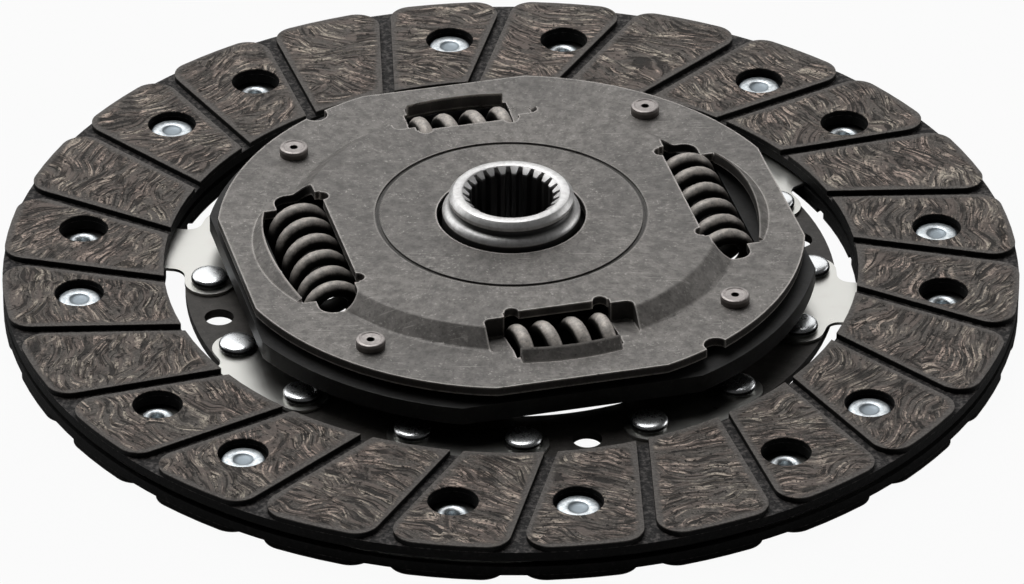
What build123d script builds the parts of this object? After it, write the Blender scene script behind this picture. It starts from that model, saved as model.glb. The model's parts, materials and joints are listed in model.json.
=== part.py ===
from build123d import *
import os
from math import atan2, cos, degrees, hypot, pi, radians, sin, tan

# A dry clutch disc with a torsion damper, lying on its flywheel-side friction face.
# Millimetres. The origin is on the shaft axis, in the flywheel-side friction face,
# and +Z points to the gearbox side.

# Springs and their windows: most radii of the disc grow outwards from these
spring_place = 42.4
spring_lift = 1.1
spring_outer_radius = 6.95
long_spring_length = 36.5
long_spring_wire = 3.4
long_spring_turns = 6.0
short_spring_length = 22.5
short_spring_wire = 3.3
short_spring_turns = 4.0
closed_turns = 0.7
points_per_turn = 8
window_count = 4
window_angle = 14.5
window_inner_reach = 5.2
window_end_clearance = 0.1
window_relief_radius = 1.5
window_relief_inset = 1.9
end_notch_half_width = 4.1
end_notch_depth = 5.2
end_notch_corner = 3.0
drive_window_gap = 3.65

# Lips and pockets pressed around the windows of the cover plate
lip_rise = 2.4
long_lip_gap = 3.05
long_lip_run = 2.7
long_lip_curve = 35.0
short_lip_gap = 1.15
short_lip_run = 2.1
lip_margin = 0.7
pocket_setback = 1.5
pocket_width = 7.9
pocket_margin = 4.6
pocket_clearance = 0.25

# Both pressed plates
plate_thickness = 2.0
step_offset = 1.6
step_run = 4.0
bend_radius = 1.5

# Cover plate
cover_rim = 6.9
cover_flat_depth = 2.7
cover_flange_gap = 1.65
cover_raise = 3.35
cover_bore_gap = 1.2
cover_groove_offset = 12.5
cover_groove_width = 0.9
cover_groove_depth = 0.4
notch_radius = 2.6
notch_angle = 133.2

# Stop pins
pin_edge_distance = 7.2
pin_angle = 58.3
pin_body_radius = 4.2
pin_shank_radius = 2.8
pin_head_radius = 3.05
pin_head_height = 1.95
pin_tail_height = 1.1
pin_head_chamfer = 0.3
pin_mark_radius = 0.7
pin_mark_depth = 0.8
pin_slot_clearance = 0.4
pin_slot_spare = 0.6

# Hub flange
flange_pin_margin = 10.0
flange_flat_depth = 5.2
flange_thickness = 4.0
flange_window_clearance = 0.5
flange_window_corner = 0.8
short_spring_free_play = 2.9
turn_down = 8.0
turn_up = 10.0

# Drive plate
drive_plate_margin = 7.0
drive_raise = 3.2
drive_lip_height = 1.0
drive_lip_thickness = 1.2
drive_lip_end_gap = 2.0
tool_hole_radius = 3.1
tool_hole_inset = 5.7

# Friction facings
facing_gap = 4.5
facing_width = 34.0
facing_thickness = 3.4
pad_count = 24
groove_width = 2.6
groove_depth = 1.3
groove_offset = 24.0
groove_angle = -87.5
pad_outer_corner = 5.0
pad_inner_corner = 4.0

# Facing rivets: a line of eight with heads up and a line of eight with heads down
facing_rivet_offset = 18.25
head_up_angle = 98.7
head_down_angle = 82.85
rivets_per_line = 8
facing_hole_radius = 5.25
facing_web = 1.1
facing_head_radius = 4.4
facing_head_height = 0.8
facing_shank_radius = 2.2
facing_dimple_radius = 1.8
facing_dimple_depth = 0.5
facing_tail_radius = 3.3
facing_tail_height = 1.1
facing_tail_bore = 1.5
rivet_clearance = 0.05

# Cushion segments, pressed from thin spring steel
segment_count = 8
segment_angle = 217.1
segment_thickness = 0.7
wave_rise = 0.6
wave_seat_margin = 0.7
wave_middle_margin = 2.1
paddle_outer_margin = 1.2
paddle_side_gap = 1.6
paddle_inner_margin = 3.0
paddle_corner = 4.0
neck_half_width = 7.9
neck_corner = 3.0
foot_width = 10.6
foot_spread = 20.8

# Rivets that hold the segments on the drive plate
segment_rivet_inset = 5.2
segment_head_radius = 3.9
segment_head_rim = 0.9
segment_head_height = 2.5
segment_shank_radius = 2.5
segment_tail_radius = 3.6
segment_tail_height = 0.9

# Hub and its splined bore
hub_bottom = 1.0
hub_length = 24.1
spline_teeth = 24
spline_angle = 4.0
spline_minor_radius = 8.9
spline_depth = 1.35
spline_space_inner = 1.42
spline_space_outer = 0.72
mouth_margin = 0.2
mouth_depth = 1.2
hub_wall = 2.95
hub_face_width = 0.9
hub_ring_height = 1.9
hub_chamfer = 1.0
hub_neck_depth = 0.7
hub_neck_drop = 1.0
hub_flare_drop = 1.6
hub_journal_step = 1.4
hub_end_chamfer = 0.6
tooth_count = 20
tooth_foot = 1.4
tooth_height = 1.6
tooth_width = 2.9
tooth_clearance = 0.05
collar_margin = 0.8
collar_thickness = 1.4

# Friction gear between the plates and the hub flange
running_clearance = 0.05
bush_wall = 2.2
bush_lip_width = 5.2
bush_lip_thickness = 1.2
bush_rise = 1.2
friction_ring_gap = 1.0
friction_ring_width = 8.1
lower_friction_thickness = 2.0
upper_friction_thickness = 1.7
washer_margin = 1.5
washer_thickness = 1.1
disc_spring_inset = 0.8
disc_spring_thickness = 1.0
disc_spring_gap = 1.0

# Radii that follow, from the springs outwards
coil_edge = spring_place + spring_outer_radius
window_inner_edge = spring_place - window_inner_reach
drive_window_radius = coil_edge + drive_window_gap
long_lip_edge = coil_edge + long_lip_gap
long_lip_foot = long_lip_edge + long_lip_run
short_lip_edge = coil_edge + short_lip_gap
short_lip_foot = short_lip_edge + short_lip_run
pocket_edge = window_inner_edge + pocket_setback
pocket_end = pocket_edge + pocket_width
step_top_radius = spring_place + step_offset
step_foot_radius = step_top_radius + step_run
cover_radius = long_lip_foot + cover_rim
cover_flat = cover_radius - cover_flat_depth
pin_place = cover_radius - pin_edge_distance
flange_radius = pin_place + flange_pin_margin
flange_flat = flange_radius - flange_flat_depth
drive_plate_radius = cover_radius + drive_plate_margin
tool_hole_place = drive_plate_radius - tool_hole_inset
segment_rivet_place = drive_plate_radius - segment_rivet_inset
facing_inner_radius = drive_plate_radius + facing_gap
facing_outer_radius = facing_inner_radius + facing_width
facing_rivet_place = facing_inner_radius + facing_rivet_offset
paddle_inner_radius = facing_inner_radius + paddle_inner_margin

# Radii that follow, from the splined bore outwards
spline_major_radius = spline_minor_radius + spline_depth
mouth_radius = spline_major_radius + mouth_margin
hub_ring_radius = spline_major_radius + hub_wall
hub_face_radius = hub_ring_radius - hub_face_width
hub_neck_radius = hub_ring_radius - hub_neck_depth
hub_journal_radius = hub_ring_radius + hub_journal_step
tooth_root_radius = hub_journal_radius + tooth_foot
tooth_tip_radius = tooth_root_radius + tooth_height
collar_radius = tooth_tip_radius + collar_margin
drive_bore_radius = hub_journal_radius + bush_wall
bush_lip_radius = drive_bore_radius + bush_lip_width
cover_bore_radius = hub_journal_radius + cover_bore_gap
cover_groove_place = cover_bore_radius + cover_groove_offset
friction_inner_radius = collar_radius + friction_ring_gap
friction_outer_radius = friction_inner_radius + friction_ring_width
washer_radius = friction_outer_radius + washer_margin
disc_spring_radius = washer_radius - disc_spring_inset
disc_spring_inner_radius = friction_inner_radius + disc_spring_gap

# Levels and lengths that follow from the sizes above
disc_thickness = 2 * facing_thickness + segment_thickness + wave_rise
carrier_top = facing_thickness
carrier_bottom = carrier_top - plate_thickness
segment_top = carrier_top + segment_thickness
drive_top = carrier_top + drive_raise
drive_ceiling = drive_top - plate_thickness
flange_bottom = drive_top + lower_friction_thickness
flange_top = flange_bottom + flange_thickness
spring_height = flange_bottom + flange_thickness / 2 + spring_lift
cover_flange_bottom = flange_top + cover_flange_gap
cover_flange_top = cover_flange_bottom + plate_thickness
cover_top = cover_flange_top + cover_raise
cover_ceiling = cover_top - plate_thickness
pocket_floor = flange_top + pocket_clearance + plate_thickness
washer_bottom = flange_top + upper_friction_thickness
washer_top = washer_bottom + washer_thickness
collar_top = flange_top + collar_thickness
hub_top = hub_bottom + hub_length
hub_ring_bottom = hub_top - hub_ring_height
hub_neck_bottom = hub_ring_bottom - hub_neck_drop
hub_flare_height = hub_neck_bottom - hub_flare_drop
segment_pitch = 360 / segment_count
window_pitch = 360 / window_count
long_half = long_spring_length / 2 + window_end_clearance
short_half = short_spring_length / 2 + window_end_clearance
short_pocket_half = short_half + pocket_margin
above_all = hub_top + plate_thickness

os.makedirs("parts", exist_ok=True)


def save(builder, name):
    """Label a finished piece and write its file."""
    builder.part.label = name
    export_step(builder.part, f"parts/{name}.step")


def outward(angle):
    return Vector(cos(radians(angle)), sin(radians(angle)), 0)


def window_plane(index, height):
    """A level plane whose X axis runs outwards through the middle of a spring window."""
    return Plane((0, 0, height), x_dir=outward(window_angle + window_pitch * index))


def half_of(index, long_size, short_size):
    """Windows take turns: the even ones hold long springs, the odd ones short springs."""
    return long_size if index % 2 == 0 else short_size


def cut_flats(radius, flat):
    """Square off a round sketch on the side of each spring window."""
    with PolarLocations(flat, window_count, start_angle=window_angle):
        Rectangle(radius, 2 * radius, align=(Align.MIN, Align.CENTER), mode=Mode.SUBTRACT)


def window_outline(half_length, outer_radius):
    """A spring window: straight inner edge with relieved corners, round outer edge."""
    Circle(outer_radius)
    with Locations((window_inner_edge, 0)):
        Rectangle(
            coil_edge - window_inner_edge, 2 * half_length, align=(Align.MIN, Align.CENTER)
        )
    with Locations((window_inner_edge, 0)):
        Rectangle(
            outer_radius,
            2 * half_length,
            align=(Align.MIN, Align.CENTER),
            mode=Mode.INTERSECT,
        )
    for side in (-1, 1):
        with Locations((window_inner_edge, side * (half_length - window_relief_inset))):
            Circle(window_relief_radius)


def offset_step(thickness, rise, run):
    """How far a slope's foot moves inwards from the upper to the lower face of a sheet."""
    return thickness * tan(atan2(rise, run) / 2)


def plate_profile(outer_radius, flat_top, rise):
    """Half a section through a pressed plate whose centre is raised by one step."""
    shift = offset_step(plate_thickness, rise, step_foot_radius - step_top_radius)
    with BuildLine() as edge:
        Polyline(
            (0, flat_top + rise),
            (step_top_radius, flat_top + rise),
            (step_foot_radius, flat_top),
            (outer_radius, flat_top),
            (outer_radius, flat_top - plate_thickness),
            (step_foot_radius - shift, flat_top - plate_thickness),
            (step_top_radius - shift, flat_top + rise - plate_thickness),
            (0, flat_top + rise - plate_thickness),
            close=True,
        )
    make_face(edge.edges())


# Friction facings: a moulded ring with slanting grooves between rounded pads.
# The same piece serves both sides, and is turned over for the flywheel side.
def make_facing(seat):
    with BuildPart() as facing:
        with BuildSketch(seat):
            Circle(facing_outer_radius)
            Circle(facing_inner_radius, mode=Mode.SUBTRACT)
        extrude(amount=facing_thickness - groove_depth)
        with BuildSketch(seat.offset(facing_thickness - groove_depth)) as pads:
            Circle(facing_outer_radius)
            Circle(facing_inner_radius, mode=Mode.SUBTRACT)
            with PolarLocations(0, pad_count, start_angle=groove_angle):
                with Locations((0, groove_offset)):
                    Rectangle(
                        facing_outer_radius,
                        groove_width,
                        align=(Align.MIN, Align.CENTER),
                        mode=Mode.SUBTRACT,
                    )
            corners = pads.vertices()
            fillet(
                corners.filter_by(lambda v: hypot(v.X, v.Y) > facing_rivet_place),
                pad_outer_corner,
            )
            fillet(
                corners.filter_by(lambda v: hypot(v.X, v.Y) < facing_rivet_place),
                pad_inner_corner,
            )
        extrude(amount=groove_depth)
        with BuildSketch(seat.offset(facing_web)):
            with PolarLocations(facing_rivet_place, rivets_per_line, head_up_angle):
                Circle(facing_hole_radius)
        extrude(amount=facing_thickness, mode=Mode.SUBTRACT)
        with BuildSketch(seat):
            with PolarLocations(facing_rivet_place, rivets_per_line, head_up_angle):
                Circle(facing_shank_radius + rivet_clearance)
            with PolarLocations(facing_rivet_place, rivets_per_line, head_down_angle):
                Circle(facing_hole_radius)
        extrude(amount=facing_thickness, mode=Mode.SUBTRACT)
    return facing


gearbox_seat = Plane((0, 0, disc_thickness - facing_thickness))
flywheel_seat = Plane(
    (0, 0, facing_thickness),
    x_dir=outward(head_up_angle + head_down_angle),
    z_dir=(0, 0, -1),
)
facing_gearbox_side = make_facing(gearbox_seat)
save(facing_gearbox_side, "facing_gearbox_side")
facing_flywheel_side = make_facing(flywheel_seat)
save(facing_flywheel_side, "facing_flywheel_side")

# Cushion segments: one wave runs across the paddle, so that the facing rivets
# hold its high parts to one facing and its low middle to the other
up_hole = (head_up_angle - segment_angle) % segment_pitch
down_hole = (head_down_angle - segment_angle) % segment_pitch
paddle_half_angle = segment_pitch / 2 - degrees(paddle_side_gap / 2 / facing_rivet_place)
wave_reach = facing_rivet_place * sin(radians(up_hole))
wave_seat = facing_tail_radius + wave_seat_margin
wave_middle = neck_half_width + neck_corner + wave_middle_margin


def wave_line(level):
    """The line of the wave across a segment: flat middle, two flat crests, low sides."""
    Line((-wave_middle, level), (wave_middle, level))
    for side in (-1, 1):
        foot = (side * wave_middle, level)
        crest_start = (side * (wave_reach - wave_seat), level + wave_rise)
        crest_end = (side * (wave_reach + wave_seat), level + wave_rise)
        end = (side * 2 * wave_reach, level)
        Spline(foot, crest_start, tangents=[(side, 0), (side, 0)])
        Line(crest_start, crest_end)
        Spline(crest_end, end, tangents=[(side, 0), (side, 0)])


with BuildPart() as segment_blank:
    with BuildSketch(Plane.YZ):
        with BuildLine():
            wave_line(carrier_top)
            wave_line(segment_top)
            for side in (-1, 1):
                Line((side * 2 * wave_reach, carrier_top), (side * 2 * wave_reach, segment_top))
        make_face()
    extrude(amount=facing_outer_radius)
    Cylinder(facing_inner_radius, 2 * above_all, mode=Mode.SUBTRACT)
    with BuildSketch(Plane.XY.offset(carrier_top)):
        Circle(facing_inner_radius)
    extrude(amount=segment_thickness)
    with BuildSketch() as segment_shape:
        with BuildLine():
            outer = CenterArc(
                (0, 0),
                facing_outer_radius - paddle_outer_margin,
                -paddle_half_angle,
                2 * paddle_half_angle,
            )
            inner = CenterArc(
                (0, 0), paddle_inner_radius, -paddle_half_angle, 2 * paddle_half_angle
            )
            Line(outer @ 0, inner @ 0)
            Line(outer @ 1, inner @ 1)
        make_face()
        fillet(segment_shape.vertices(), paddle_corner)
        with Locations((segment_rivet_place, 0)):
            Rectangle(
                paddle_inner_radius - segment_rivet_place + segment_thickness,
                2 * neck_half_width,
                align=(Align.MIN, Align.CENTER),
            )
        foot_line = CenterArc(
            (0, 0), segment_rivet_place, -foot_spread / 2, foot_spread, mode=Mode.PRIVATE
        )
        SlotArc(foot_line, foot_width)
        neck_ends = segment_shape.vertices().filter_by(
            lambda v: abs(abs(v.Y) - neck_half_width) < running_clearance
        )
        fillet(neck_ends, neck_corner)
        with PolarLocations(segment_rivet_place, 2, -foot_spread / 2, foot_spread, endpoint=True):
            Circle(segment_shank_radius + rivet_clearance, mode=Mode.SUBTRACT)
        for angle in (up_hole, down_hole):
            with PolarLocations(facing_rivet_place, 1, angle):
                Circle(facing_shank_radius + rivet_clearance, mode=Mode.SUBTRACT)
    extrude(amount=above_all, both=True, mode=Mode.INTERSECT)

for index in range(segment_count):
    with BuildPart() as cushion_segment:
        with PolarLocations(0, 1, segment_angle + index * segment_pitch):
            add(segment_blank.part)
    save(cushion_segment, f"cushion_segment_{index + 1}")

# Facing rivets: a flat head with a dimple, and a tail rolled into a ring behind the segment
head_seat = disc_thickness - facing_thickness + facing_web
tail_seat = segment_top + wave_rise - segment_thickness
tail_end = tail_seat - facing_tail_height
with BuildPart() as facing_rivet_blank:
    with BuildSketch(Plane.XZ):
        with Locations((0, head_seat)):
            Rectangle(facing_head_radius, facing_head_height, align=Align.MIN)
        with Locations((0, tail_end)):
            Rectangle(facing_shank_radius, head_seat - tail_end, align=Align.MIN)
            Rectangle(facing_tail_radius, facing_tail_height, align=Align.MIN)
            Rectangle(
                facing_tail_bore, 2 * facing_tail_height, align=Align.MIN, mode=Mode.SUBTRACT
            )
        with Locations((0, head_seat + facing_head_height)):
            Ellipse(facing_dimple_radius, facing_dimple_depth, mode=Mode.SUBTRACT)
    revolve(axis=Axis.Z)
    head_rim = facing_rivet_blank.edges().filter_by(GeomType.CIRCLE).sort_by(SortBy.RADIUS)
    chamfer(head_rim[-2:].sort_by(Axis.Z)[-1], pin_head_chamfer)

with BuildPart() as facing_rivets_head_up:
    with PolarLocations(facing_rivet_place, rivets_per_line, head_up_angle):
        add(facing_rivet_blank.part)
save(facing_rivets_head_up, "facing_rivets_head_up")

turned_over = Plane((0, 0, disc_thickness), z_dir=(0, 0, -1))
with BuildPart() as facing_rivets_head_down:
    with PolarLocations(facing_rivet_place, rivets_per_line, head_down_angle):
        add(turned_over.location * facing_rivet_blank.part)
save(facing_rivets_head_down, "facing_rivets_head_down")

# Segment rivets: domed heads over the segment feet, low heads under the drive plate
with BuildPart() as segment_rivet_blank:
    with BuildSketch(Plane.XZ):
        with BuildLine():
            dome = TangentArc(
                (0, segment_top + segment_head_height),
                (segment_head_radius, segment_top + segment_head_rim),
                tangent=(1, 0),
            )
            Polyline(
                dome @ 1,
                (segment_head_radius, segment_top),
                (segment_shank_radius, segment_top),
                (segment_shank_radius, carrier_bottom),
                (segment_tail_radius, carrier_bottom),
                (segment_tail_radius, carrier_bottom - segment_tail_height / 2),
                (segment_shank_radius, carrier_bottom - segment_tail_height),
                (0, carrier_bottom - segment_tail_height),
                dome @ 0,
            )
        make_face()
    revolve(axis=Axis.Z)
with BuildPart() as segment_rivets:
    for side in (-1, 1):
        with PolarLocations(
            segment_rivet_place, segment_count, segment_angle + side * foot_spread / 2
        ):
            add(segment_rivet_blank.part)
save(segment_rivets, "segment_rivets")

# Drive plate
with BuildPart() as drive_plate:
    with BuildSketch(Plane.XZ) as section:
        plate_profile(drive_plate_radius, carrier_top, drive_raise)
        bends = section.vertices().filter_by(
            lambda v: step_top_radius - plate_thickness < v.X < step_foot_radius + rivet_clearance
        )
        fillet(bends, bend_radius)
    revolve(axis=Axis.Z)
    for index in range(window_count):
        half = half_of(index, long_half, short_half)
        with BuildSketch(window_plane(index, carrier_bottom)):
            Circle(drive_window_radius + drive_lip_thickness)
            with Locations((step_foot_radius, 0)):
                Rectangle(
                    drive_window_radius,
                    2 * (half - drive_lip_end_gap),
                    align=(Align.MIN, Align.CENTER),
                    mode=Mode.INTERSECT,
                )
        extrude(amount=-drive_lip_height)
        with BuildSketch(window_plane(index, -above_all)):
            window_outline(half, drive_window_radius)
        extrude(amount=2 * above_all, mode=Mode.SUBTRACT)
    with BuildSketch(Plane.XY.offset(-above_all)):
        Circle(drive_bore_radius)
        with PolarLocations(tool_hole_place, window_count, window_angle):
            Circle(tool_hole_radius)
        with PolarLocations(pin_place, window_count, pin_angle):
            Circle(pin_shank_radius + rivet_clearance)
        for side in (-1, 1):
            with PolarLocations(
                segment_rivet_place, segment_count, segment_angle + side * foot_spread / 2
            ):
                Circle(segment_shank_radius + rivet_clearance)
    extrude(amount=2 * above_all, mode=Mode.SUBTRACT)
save(drive_plate, "drive_plate")

# Cover plate: a raised centre, pockets around the windows, and a lip outside each window
from_below = (Align.CENTER, Align.CENTER, Align.MIN)
outward_box = (Align.MIN, Align.CENTER, Align.MIN)


def lip_cone(index, height, thickness, reach, edge):
    """A window's lip as a leaning cone, moved inwards by a sheet thickness."""
    run = half_of(index, long_lip_foot - long_lip_edge, short_lip_foot - short_lip_edge)
    foot = half_of(index, long_lip_curve, short_lip_foot)
    foot = foot - offset_step(thickness, lip_rise, run)
    centre = half_of(index, long_lip_foot - long_lip_curve, 0)
    with BuildPart(window_plane(index, height)) as cone:
        with Locations((centre, 0, 0)):
            Cone(foot, foot - 2 * run, 2 * lip_rise, align=from_below)
        with Locations((step_top_radius, 0, 0)):
            Box(cover_radius, 2 * reach, above_all, align=outward_box, mode=Mode.INTERSECT)
        Cylinder(edge, 2 * above_all, mode=Mode.SUBTRACT)
    return cone.part


with BuildPart() as pocket:
    with BuildSketch(Plane.XZ):
        with BuildLine():
            Polyline(
                (pocket_edge, pocket_floor),
                (pocket_end, cover_flange_top),
                (pocket_end, above_all),
                (pocket_edge, above_all),
                close=True,
            )
        make_face()
    extrude(amount=short_pocket_half, both=True)
    fillet(pocket.edges().filter_by(Axis.Z), bend_radius)

# The sheet that is left around a pocket, on both sides of its window
with BuildPart() as pocket_tray:
    with BuildSketch(Plane.XZ):
        with BuildLine():
            Polyline(
                (pocket_edge - plate_thickness, cover_top),
                (pocket_edge - plate_thickness, pocket_floor - plate_thickness),
                (pocket_edge, pocket_floor - plate_thickness),
                (pocket_end, cover_flange_bottom),
                (pocket_end, cover_top),
                close=True,
            )
        make_face()
    extrude(amount=short_pocket_half + plate_thickness, both=True)
    with Locations((spring_place, 0, 0)):
        Box(2 * spring_outer_radius, 2 * short_half, 2 * above_all, mode=Mode.SUBTRACT)
    with BuildSketch(Plane.XZ):
        with BuildLine():
            Polyline(
                (0, 0),
                (0, cover_top - plate_thickness / 2),
                (step_top_radius - plate_thickness / 2, cover_top - plate_thickness / 2),
                (step_foot_radius - plate_thickness / 2, cover_flange_top - plate_thickness / 2),
                (cover_radius, cover_flange_top - plate_thickness / 2),
                (cover_radius, 0),
                close=True,
            )
        make_face()
    revolve(axis=Axis.Z, mode=Mode.INTERSECT)

with BuildPart() as cover_plate:
    with BuildSketch(Plane.XZ) as section:
        plate_profile(cover_radius, cover_flange_top, cover_raise)
        bends = section.vertices().filter_by(
            lambda v: step_top_radius - plate_thickness < v.X < step_foot_radius + rivet_clearance
        )
        fillet(bends, bend_radius)
    revolve(axis=Axis.Z)
    with PolarLocations(0, 2, window_angle + window_pitch):
        add(pocket_tray.part)
        add(pocket.part, mode=Mode.SUBTRACT)
    for index in range(window_count):
        half = half_of(index, long_half, short_half)
        lip_edge = half_of(index, long_lip_edge, short_lip_edge)
        lip_half = half - lip_margin
        lip_top = lip_cone(index, cover_flange_top, 0, lip_half, lip_edge)
        lip_under = lip_cone(
            index, cover_flange_bottom, plate_thickness, lip_half, step_top_radius
        )
        add(lip_top)
        add(lip_under, mode=Mode.SUBTRACT)
        with BuildSketch(window_plane(index, 0)):
            window_outline(half, lip_edge)
        extrude(amount=above_all, mode=Mode.SUBTRACT)
    with BuildSketch():
        with PolarLocations(spring_place, 2, window_angle):
            RectangleRounded(
                2 * end_notch_half_width, 2 * (long_half + end_notch_depth), end_notch_corner
            )
    extrude(amount=above_all, mode=Mode.SUBTRACT)
    with BuildSketch():
        Circle(cover_radius)
        cut_flats(cover_radius, cover_flat)
        with PolarLocations(cover_radius, 2, notch_angle):
            Circle(notch_radius, mode=Mode.SUBTRACT)
        with PolarLocations(pin_place, window_count, pin_angle):
            Circle(pin_shank_radius + rivet_clearance, mode=Mode.SUBTRACT)
        Circle(cover_bore_radius, mode=Mode.SUBTRACT)
    extrude(amount=above_all, mode=Mode.INTERSECT)
    with BuildSketch(Plane.XY.offset(cover_top - cover_groove_depth)):
        Circle(cover_groove_place + cover_groove_width / 2)
        Circle(cover_groove_place - cover_groove_width / 2, mode=Mode.SUBTRACT)
    extrude(amount=plate_thickness, mode=Mode.SUBTRACT)
save(cover_plate, "cover_plate")

# Stop pins: they hold the two plates apart and stop the hub flange at the end of its turn
pin_top = cover_flange_top + pin_head_height
with BuildPart() as pin_blank:
    with BuildSketch(Plane.XZ):
        with Locations((0, carrier_bottom - pin_tail_height)):
            Rectangle(pin_head_radius, pin_tail_height, align=Align.MIN)
            Rectangle(pin_shank_radius, pin_top - carrier_bottom, align=Align.MIN)
        with Locations((0, carrier_top)):
            Rectangle(pin_body_radius, cover_flange_bottom - carrier_top, align=Align.MIN)
        with Locations((0, cover_flange_top)):
            Rectangle(pin_head_radius, pin_head_height, align=Align.MIN)
        with Locations((0, pin_top)):
            Rectangle(2 * pin_mark_radius, 2 * pin_mark_depth, mode=Mode.SUBTRACT)
    revolve(axis=Axis.Z)
    ends = pin_blank.edges().filter_by(GeomType.CIRCLE).filter_by(
        lambda e: abs(e.radius - pin_head_radius) < rivet_clearance
    )
    chamfer([ends.sort_by(Axis.Z)[0], ends.sort_by(Axis.Z)[-1]], pin_head_chamfer)

for index in range(window_count):
    with BuildPart() as stop_pin:
        with PolarLocations(pin_place, 1, pin_angle + window_pitch * index):
            add(pin_blank.part)
    save(stop_pin, f"stop_pin_{index + 1}")

# Hub flange: toothed onto the hub, with a window for each spring and a slot for each pin
slot_start = pin_angle - turn_up - pin_slot_spare
slot_sweep = turn_up + turn_down + 2 * pin_slot_spare
with BuildPart() as hub_flange:
    with BuildSketch(Plane.XY.offset(flange_bottom)):
        Circle(flange_radius)
        cut_flats(flange_radius, flange_flat)
        for index in range(window_count):
            half = half_of(index, long_half, short_half + short_spring_free_play)
            with PolarLocations(spring_place, 1, window_angle + window_pitch * index):
                RectangleRounded(
                    2 * (spring_outer_radius + flange_window_clearance),
                    2 * half,
                    flange_window_corner,
                    mode=Mode.SUBTRACT,
                )
            slot_line = CenterArc(
                (0, 0),
                pin_place,
                slot_start + window_pitch * index,
                slot_sweep,
                mode=Mode.PRIVATE,
            )
            SlotArc(slot_line, 2 * (pin_body_radius + pin_slot_clearance), mode=Mode.SUBTRACT)
        Circle(tooth_root_radius + tooth_clearance, mode=Mode.SUBTRACT)
        with PolarLocations(0, tooth_count):
            Rectangle(
                tooth_tip_radius + tooth_clearance,
                tooth_width + 2 * tooth_clearance,
                align=(Align.MIN, Align.CENTER),
                mode=Mode.SUBTRACT,
            )
    extrude(amount=flange_thickness)
save(hub_flange, "hub_flange")

# Hub: journals, a collar over the flange, outer teeth and a splined bore
with BuildPart() as hub:
    with BuildSketch(Plane.XZ) as section:
        with BuildLine():
            Polyline(
                (0, hub_bottom),
                (hub_journal_radius - hub_end_chamfer, hub_bottom),
                (hub_journal_radius, hub_bottom + hub_end_chamfer),
                (hub_journal_radius, flange_bottom),
                (tooth_root_radius, flange_bottom),
                (tooth_root_radius, flange_top),
                (collar_radius, flange_top),
                (collar_radius, collar_top),
                (hub_journal_radius, collar_top),
                (hub_journal_radius, hub_flare_height),
            )
            neck = ThreePointArc(
                (hub_journal_radius, hub_flare_height),
                (hub_neck_radius, hub_neck_bottom),
                (hub_neck_radius + hub_end_chamfer, hub_ring_bottom),
            )
            Polyline(
                neck @ 1,
                (hub_ring_radius, hub_ring_bottom),
                (hub_ring_radius, hub_top - hub_chamfer),
                (hub_face_radius, hub_top),
                (0, hub_top),
                (0, hub_bottom),
            )
        make_face()
    revolve(axis=Axis.Z)
    with BuildSketch(Plane.XY.offset(flange_bottom)):
        Circle(tooth_tip_radius)
        with BuildSketch(mode=Mode.PRIVATE) as teeth:
            with PolarLocations(0, tooth_count):
                Rectangle(tooth_tip_radius, tooth_width, align=(Align.MIN, Align.CENTER))
        add(teeth.sketch, mode=Mode.INTERSECT)
    extrude(amount=flange_thickness)
    with BuildSketch(Plane.XZ):
        with BuildLine():
            Polyline(
                (0, hub_bottom),
                (spline_major_radius, hub_bottom),
                (spline_minor_radius, hub_bottom + mouth_depth),
                (spline_minor_radius, hub_top - mouth_depth),
                (mouth_radius, hub_top),
                (0, hub_top),
                close=True,
            )
        make_face()
    revolve(axis=Axis.Z, mode=Mode.SUBTRACT)
    with BuildSketch(Plane.XY.offset(hub_bottom)):
        with PolarLocations(0, spline_teeth, spline_angle):
            with BuildLine():
                Polyline(
                    (spline_minor_radius / 2, -spline_space_inner / 2),
                    (spline_minor_radius, -spline_space_inner / 2),
                    (spline_major_radius, -spline_space_outer / 2),
                    (spline_major_radius, spline_space_outer / 2),
                    (spline_minor_radius, spline_space_inner / 2),
                    (spline_minor_radius / 2, spline_space_inner / 2),
                    close=True,
                )
            make_face()
    extrude(amount=hub_top - hub_bottom, mode=Mode.SUBTRACT)
save(hub, "hub")

# Bush in the drive plate, in which the hub turns
bush_lip_bottom = drive_ceiling - bush_lip_thickness
with BuildPart() as centring_bush:
    with BuildSketch(Plane.XY.offset(bush_lip_bottom)):
        Circle(bush_lip_radius)
    extrude(amount=bush_lip_thickness)
    with BuildSketch(Plane.XY.offset(bush_lip_bottom)):
        Circle(drive_bore_radius - rivet_clearance)
    extrude(amount=bush_lip_thickness + plate_thickness + bush_rise)
    with BuildSketch(Plane.XY.offset(bush_lip_bottom)):
        Circle(hub_journal_radius + running_clearance)
    extrude(amount=above_all, mode=Mode.SUBTRACT)
save(centring_bush, "centring_bush")

# Friction rings on both sides of the hub flange, the washer that presses them and its spring
with BuildPart() as friction_ring_lower:
    with BuildSketch(Plane.XY.offset(drive_top)):
        Circle(friction_outer_radius)
        Circle(friction_inner_radius, mode=Mode.SUBTRACT)
    extrude(amount=flange_bottom - drive_top)
save(friction_ring_lower, "friction_ring_lower")

with BuildPart() as friction_ring_upper:
    with BuildSketch(Plane.XY.offset(flange_top)):
        Circle(friction_outer_radius)
        Circle(friction_inner_radius, mode=Mode.SUBTRACT)
    extrude(amount=upper_friction_thickness)
save(friction_ring_upper, "friction_ring_upper")

with BuildPart() as support_washer:
    with BuildSketch(Plane.XY.offset(washer_bottom)):
        Circle(washer_radius)
        Circle(friction_inner_radius, mode=Mode.SUBTRACT)
    extrude(amount=washer_thickness)
save(support_washer, "support_washer")

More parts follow.
